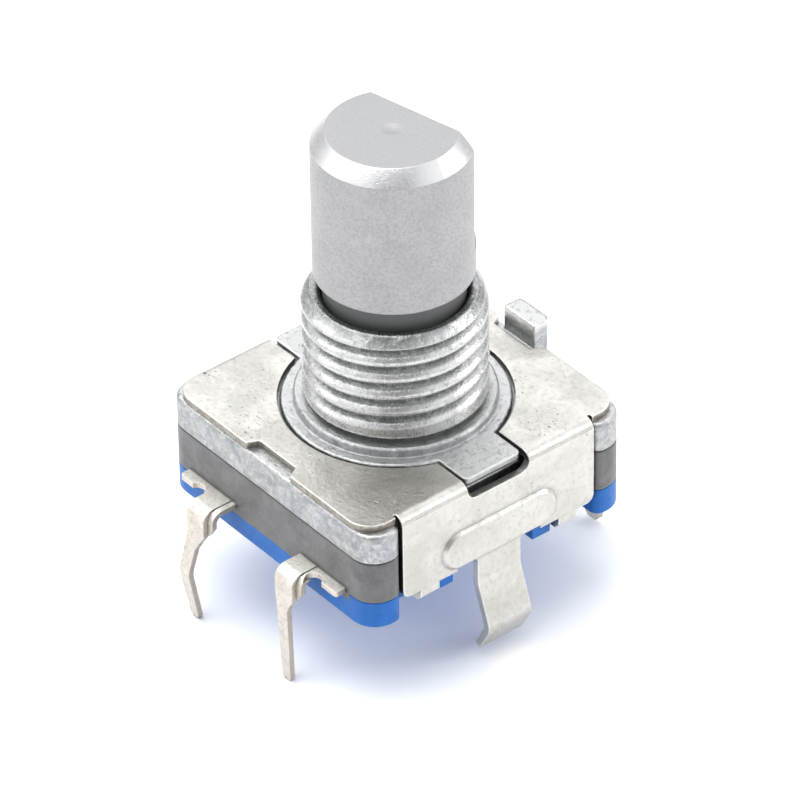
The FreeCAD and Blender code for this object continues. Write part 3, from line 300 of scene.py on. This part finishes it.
def cast_zinc():
    """Mottled die casting with pits, glossy on the thread, with painted highlights on upward faces and
    thread crests, edges lightened as wear and painted highlight, and painted shade in the thread's roots
    and in corners.
    """
    s = Shader("cast_zinc", "die_cast_zinc")
    grain = s.noise(0.12 * MM, 4.0, 0.65)
    cloud = s.noise(0.9 * MM, 4.0, 0.65, spread=0.6)
    patches = s.noise(0.34 * MM, 3.0, 0.6, spread=0.8)
    colour = s.mix(s.ramp(cloud, 0.38, 0.62), *ZINC)
    level = s.facing("Z")
    # Painted highlight: faces that look upwards are coloured lighter.
    colour = s.mix(s.ramp(level, 0.90, 0.98, 0.0, 0.85), colour, ZINC_LIT_TOP)
    height = s.height()
    thread = s.ramp(height, THREAD_LOW, THREAD_HIGH)
    # Painted shade at the thread's roots and painted highlight at its crests.
    thread_shade_and_highlight = s.mix(s.ramp(s.radius(), THREAD_ROOT, THREAD_CREST), *ZINC_THREAD_SHADE_AND_HIGHLIGHT)
    colour = s.mix(s.times(thread, 0.85), colour, thread_shade_and_highlight)
    colour = s.mix(s.ramp(patches, 0.48, 0.62, 0.0, 0.5), colour, ZINC_PATCH)
    stain = s.ramp(s.noise(0.26 * MM, 3.0, 0.6), 0.54, 0.66, 0.0, 0.5)
    colour = s.mix(stain, colour, ZINC_STAIN)
    pits = s.ramp(s.noise(0.15 * MM, 2.0, 0.6), 0.64, 0.72)
    pits = s.times(pits, s.ramp(thread, 0.0, 1.0, 0.5, 0.2))
    colour = s.mix(pits, colour, ZINC_PIT)
    # Edges lightened as edge wear and a painted highlight, weaker on the thread.
    rim_wear_and_highlight = s.times(s.ramp(s.near_edge(0.16 * MM), 0.25, 0.60), s.ramp(thread, 0.0, 1.0, 0.75, 0.3))
    colour = s.mix(rim_wear_and_highlight, colour, ZINC_RIM_WEAR_AND_HIGHLIGHT)
    # Painted shade: darkened deep in corners.
    corner_shade = s.ramp(s.near_edge(0.20 * MM, inside=False), 0.35, 0.90, 0.0, 0.5)
    s.link(s.mix(corner_shade, colour, ZINC_CORNER_SHADE), "Base Color")
    rough = s.ramp(grain, 0.3, 0.7, 0.28, 0.48)
    s.link(s.minus(rough, s.times(thread, 0.13)), "Roughness")
    low = s.bump(cloud, 0.05 * MM, s.rounded(0.13 * MM))
    skin = s.times(s.minus(grain, pits), s.ramp(thread, 0.0, 1.0, 1.0, 0.35))
    s.link(s.bump(skin, 0.024 * MM, low), "Normal")
    return s.set(Metallic=1.0)


def tin_plate():
    """Bright plated sheet with pits, scratches and brownish sheared edges; upright faces darkened as
    painted shade, rims lightened as rubbed wear and painted highlight, and painted shade in corners.
    """
    s = Shader("tin_plate", "tin_plate")
    cloud = s.noise(1.8 * MM, 4.0, 0.6, spread=0.5)
    mottle = s.noise(0.20 * MM, 4.0, 0.7)
    colour = s.mix(s.ramp(cloud, 0.38, 0.62), *TIN)
    colour = s.mix(s.ramp(mottle, 0.50, 0.66, 0.0, 0.55), colour, TIN_MOTTLE)
    shine = s.times(s.ramp(s.noise(0.10 * MM, 2.0), 0.64, 0.70), s.ramp(cloud, 0.45, 0.55))
    colour = s.mix(s.times(shine, 0.7), colour, TIN_SPECK)
    sparse = s.ramp(s.noise(1.4 * MM, 2.0), 0.48, 0.60)
    fine = s.either(scratches(s, 0.6, 1.4 * MM, 0.04 * MM, 0.34, 3.0),
                  scratches(s, -0.9, 1.0 * MM, 0.035 * MM, 0.32, 11.0))
    pits = s.ramp(s.noise(0.13 * MM, 1.0), 0.66, 0.72)
    marks = s.times(s.either(s.times(fine, 0.5), pits), sparse)
    colour = s.mix(s.times(marks, 0.7), colour, TIN_MARK)
    level = s.facing("Z")
    # Painted shade: faces that stand upright are coloured darker.
    upright_shade = s.ramp(s.math("ABSOLUTE", level), 0.3, 0.6, 0.42, 0.0)
    colour = s.mix(upright_shade, colour, TIN_UPRIGHT_SHADE)
    top_edge = s.ramp(s.height(), cover_top - 1.15 * SHEET, cover_top - 1.05 * SHEET)
    sheared = s.times(s.between(level, -0.2, 0.2, 0.1), top_edge)
    sheared = s.times(sheared, s.ramp(mottle, 0.3, 0.6, 0.5, 1.0))
    colour = s.mix(sheared, colour, TIN_SHEARED)
    # Edges lightened as rubbed wear and a painted highlight.
    colour = s.mix(s.ramp(s.near_edge(0.10 * MM), 0.20, 0.55, 0.0, 0.85), colour, TIN_RIM_WEAR_AND_HIGHLIGHT)
    # Painted shade: darkened deep in corners.
    corner_shade = s.ramp(s.near_edge(0.26 * MM, inside=False), 0.05, 0.36, 0.0, 0.75)
    s.link(s.mix(corner_shade, colour, TIN_CORNER_SHADE), "Base Color")
    s.link(s.ramp(mottle, 0.3, 0.7, 0.26, 0.42), "Roughness")
    low = s.bump(cloud, 0.04 * MM, s.rounded(0.08 * MM))
    s.link(s.bump(s.minus(mottle, s.times(marks, 0.4)), 0.014 * MM, low), "Normal")
    return s.set(Metallic=1.0)


def terminal_tin():
    """Warm matte tin: drawn streaks down the pins, tops painted lighter as painted light, brown sheared
    edges, edges lightened as wear and painted highlight, and painted shade in corners.
    """
    s = Shader("terminal_tin", "terminal_plate")
    # Painted light: upward faces get the lighter copy of the tin.
    lit_tops = s.ramp(s.facing("Z"), 0.3, 0.8)
    cloud = s.ramp(s.noise(0.7 * MM, 4.0, 0.65), 0.38, 0.62)
    dull = s.mix(cloud, *PIN)
    lit_top_colour = s.mix(cloud, *PIN_LIT_TOP)
    colour = s.mix(lit_tops, dull, lit_top_colour)
    mottle = s.noise(0.14 * MM, 4.0, 0.7)
    colour = s.mix(s.ramp(mottle, 0.54, 0.66, 0.0, 0.6), colour, PIN_MOTTLE)
    drawn = s.ramp(s.noise(0.06 * MM, 2.0, 0.6, s.stretched(2.2, 0.5, 0.22)), 0.50, 0.66, 0.0, 0.45)
    colour = s.mix(drawn, colour, PIN_DRAWN)
    sheared = s.times(s.ramp(s.math("ABSOLUTE", s.facing("X")), 0.75, 0.95), 0.6)
    colour = s.mix(sheared, colour, PIN_SHEARED)
    # Edges lightened as edge wear and a painted highlight.
    colour = s.mix(s.ramp(s.near_edge(0.06 * MM), 0.30, 0.60, 0.0, 0.5), colour, PIN_RIM_WEAR_AND_HIGHLIGHT)
    # Painted shade: darkened deep in corners.
    corner_shade = s.ramp(s.near_edge(0.14 * MM, inside=False), 0.20, 0.60, 0.0, 0.8)
    s.link(s.mix(corner_shade, colour, PIN_CORNER_SHADE), "Base Color")
    s.link(s.ramp(mottle, 0.3, 0.7, 0.36, 0.55), "Roughness")
    s.link(s.bump(mottle, 0.014 * MM, s.rounded(0.06 * MM)), "Normal")
    return s.set(Metallic=0.7)


def spring_steel():
    """Drawn and rolled spring steel, streaked along its length."""
    s = Shader("spring_steel", "spring_steel")
    lines = s.noise(0.06 * MM, 3.0, 0.6, s.stretched(0.2, 1.0, 1.0))
    s.link(s.mix(lines, *STEEL), "Base Color")
    s.link(s.ramp(lines, 0.3, 0.7, 0.22, 0.40), "Roughness")
    s.link(s.bump(lines, 0.003 * MM, s.rounded(0.02 * MM)), "Normal")
    return s.set(Metallic=1.0)


def plated_metal(name, dark, light):
    """Rolled and plated contact metal, softly clouded."""
    s = Shader(name, name)
    cloud = s.noise(0.5 * MM, 4.0, 0.6)
    s.link(s.mix(s.ramp(cloud, 0.3, 0.7), dark, light), "Base Color")
    s.link(s.ramp(s.noise(0.1 * MM), 0.3, 0.7, 0.25, 0.42), "Roughness")
    s.link(s.bump(cloud, 0.006 * MM, s.rounded(0.02 * MM)), "Normal")
    return s.set(Metallic=1.0)


def moulded_plastic(name, dark, light, rough, glow=0.0, shine=0.5):
    """Matte moulded plastic with faint scuffs, edges lightened as rubbed wear and painted highlight, and
    painted shade in corners and against its neighbours.
    """
    s = Shader(name, name)
    cloud = s.noise(0.8 * MM, 4.0, 0.65, spread=0.4)
    grain = s.noise(0.08 * MM, 3.0, 0.6)
    colour = s.mix(s.ramp(cloud, 0.36, 0.64), dark, light)
    # A lighter colour for real scuffs and for edges lightened as wear and painted highlight.
    rubbed_and_highlight = tuple(0.7 * part + 0.14 for part in light)
    sparse = s.ramp(s.noise(1.1 * MM, 2.0), 0.46, 0.60)
    scuffs = s.times(sparse, scratches(s, 1.1, 0.8 * MM, 0.035 * MM, 0.36, 5.0))
    scuffs = s.either(scuffs, s.ramp(s.noise(0.16 * MM, 3.0), 0.62, 0.70))
    colour = s.mix(s.times(scuffs, 0.25), colour, rubbed_and_highlight)
    # Edges lightened as rubbed wear and a painted highlight.
    colour = s.mix(s.ramp(s.near_edge(0.10 * MM), 0.25, 0.60, 0.0, 0.40), colour, rubbed_and_highlight)
    # Painted shade: darkened in corners and against neighbouring parts.
    corner_shade = s.ramp(s.near_edge(0.30 * MM, inside=False), 0.08, 0.50, 0.0, 0.75)
    s.link(s.mix(corner_shade, colour, tuple(0.2 * part for part in dark)), "Base Color")
    s.link(s.ramp(grain, 0.3, 0.7, rough - 0.07, rough + 0.07), "Roughness")
    low = s.bump(cloud, 0.02 * MM, s.rounded(0.08 * MM))
    s.link(s.bump(grain, 0.008 * MM, low), "Normal")
    return s.set(Metallic=0.0, Specular_IOR_Level=shine, Subsurface_Weight=glow,
                 Subsurface_Radius=(0.2, 0.35, 1.0), Subsurface_Scale=0.4 * MM)


def give(finish, *names):
    """Replaces the materials of these CAD nodes with the finish."""
    for name in names:
        data = nodes[name].data
        data.materials.clear()
        data.materials.append(finish.material)


give(turned_aluminium(), "shaft")
give(cast_zinc(), "bushing_housing")
give(tin_plate(), "cover_bracket")
give(terminal_tin(), "switch_terminal_d", "switch_terminal_e", "terminal_a", "terminal_b", "terminal_c")
give(spring_steel(), "retaining_ring", "thrust_washer", "detent_spring", "switch_dome")
give(plated_metal("wiper_bronze", *BRONZE), "wiper_a", "wiper_b", "wiper_c")
give(plated_metal("disc_brass", *BRASS), "code_disc")
give(moulded_plastic("grey_plastic", *GREY, rough=0.42, shine=0.6), "wafer_body")
give(moulded_plastic("blue_plastic", *BLUE, rough=0.40, glow=0.08, shine=0.3), "switch_base")
give(moulded_plastic("white_plastic", *WHITE, rough=0.45), "rotor", "switch_plunger")


# ---------------------------------------------------------------- switch dome

def flatten_dome():
    """The dome's place is taken by a copy of its shape with a mesh of its own, carried by the housing
    body.
    """
    dome = bpy.data.objects.new("dome_disc", nodes["switch_dome"].data.copy())
    bpy.context.scene.collection.objects.link(dome)
    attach(dome, "housing")
    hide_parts("switch_dome")
    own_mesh(dome)


flatten_dome()


# ---------------------------------------------------------------- studio

# The point that the lights face.
MIDDLE = Vector((0.0, 0.0, 5.0 * MM))

PAPER = (0.94, 0.945, 0.955, 1.0)

# The tent's colour, and the brightness of its three zones: where the change starts and ends, and the
# brightness at each. The opening goes by the cosine of the angle from TO_CAMERA, the others by height.
TENT = (0.975, 0.985, 1.0, 1.0)
OPENING = (0.78, 0.985, 1.52, 0.48)
HORIZON = (0.0, 0.50, 0.23, 1.0)
OVERHEAD = (0.74, 0.96, 1.0, 0.45)

# The camera's distance from its target in metres, its lens in millimetres, and the target's place above
# the cover and off the axis in the picture.
DISTANCE, LENS = 0.26145, 321.03
TARGET_HEIGHT, TARGET_RIGHT, TARGET_UP = 3.0 * MM, 0.142 * MM, -2.591 * MM

# Each softbox's place, its side in metres and its power in watts.
SOFTBOXES = {
    "key": ((-0.10, -0.06, 0.52), 0.44, 2.25),
    "right": ((0.30, 0.42, 0.20), 0.15, 0.64),
    "left": ((-0.34, -0.36, 0.24), 0.20, 0.20),
}


def make_floor():
    """A sheet of pale paper under the pins."""
    bpy.ops.mesh.primitive_plane_add(size=2.0, location=(0.0, 0.0, ground))
    floor = bpy.context.object
    floor.name = "studio_floor"
    s = Shader("studio_paper", None)
    s.set(Base_Color=PAPER, Roughness=0.85)
    floor.data.materials.append(s.material)


def make_light(name, place, size, power):
    """A square softbox at place, facing the middle of the body."""
    data = bpy.data.lights.new(name, "AREA")
    data.shape = "SQUARE"
    data.size = size
    data.energy = power
    lamp = bpy.data.objects.new(name, data)
    bpy.context.scene.collection.objects.link(lamp)
    lamp.location = place
    lamp.rotation_euler = (MIDDLE - Vector(place)).to_track_quat("-Z", "Y").to_euler()


def make_world():
    """A white light tent: dark behind the camera, at its opening, and dimmer low down and overhead."""
    world = bpy.data.worlds.new("studio_world")
    world.use_nodes = True
    tree = world.node_tree

    def node(kind, operation=None):
        made = tree.nodes.new(f"ShaderNode{kind}")
        if operation:
            made.operation = operation
        return made

    def smooth(value, zone):
        made = node("MapRange")
        made.interpolation_type = "SMOOTHSTEP"
        for index, number in enumerate(zone, start=1):
            made.inputs[index].default_value = number
        tree.links.new(value, made.inputs[0])
        return made.outputs[0]

    direction = node("TexCoord").outputs["Generated"]
    towards = node("VectorMath", "DOT_PRODUCT")
    towards.inputs[1].default_value = TO_CAMERA
    tree.links.new(direction, towards.inputs[0])
    axes = node("SeparateXYZ")
    tree.links.new(direction, axes.inputs[0])
    strength = node("Math", "MULTIPLY")
    tree.links.new(smooth(towards.outputs["Value"], OPENING), strength.inputs[0])
    level = node("Math", "MULTIPLY")
    tree.links.new(smooth(axes.outputs[2], HORIZON), level.inputs[0])
    tree.links.new(smooth(axes.outputs[2], OVERHEAD), level.inputs[1])
    tree.links.new(level.outputs[0], strength.inputs[1])
    background = tree.nodes["Background"]
    background.inputs[0].default_value = TENT
    tree.links.new(strength.outputs[0], background.inputs[1])
    bpy.context.scene.world = world


def make_camera():
    """The camera looks down on the corner between the switch terminals and a board leg."""
    right = Vector((math.cos(AZIMUTH), math.sin(AZIMUTH), 0.0))
    up = TO_CAMERA.cross(right)
    target = Vector((0.0, 0.0, cover_top + TARGET_HEIGHT)) + TARGET_RIGHT * right + TARGET_UP * up
    place = target + DISTANCE * TO_CAMERA
    side = math.cos(ROLL) * right + math.sin(ROLL) * up
    top = math.cos(ROLL) * up - math.sin(ROLL) * right
    data = bpy.data.cameras.new("camera")
    data.lens = LENS
    data.sensor_width = 36.0
    data.clip_start, data.clip_end = 0.01, 10.0
    camera = bpy.data.objects.new("camera", data)
    bpy.context.scene.collection.objects.link(camera)
    axes = Matrix((side, top, TO_CAMERA)).transposed().to_4x4()
    camera.matrix_world = Matrix.Translation(place) @ axes
    bpy.context.scene.camera = camera


make_floor()
make_world()
for softbox, (place, size, power) in SOFTBOXES.items():
    make_light(softbox, place, size, power)
make_camera()
bpy.context.scene.view_settings.view_transform = "Standard"
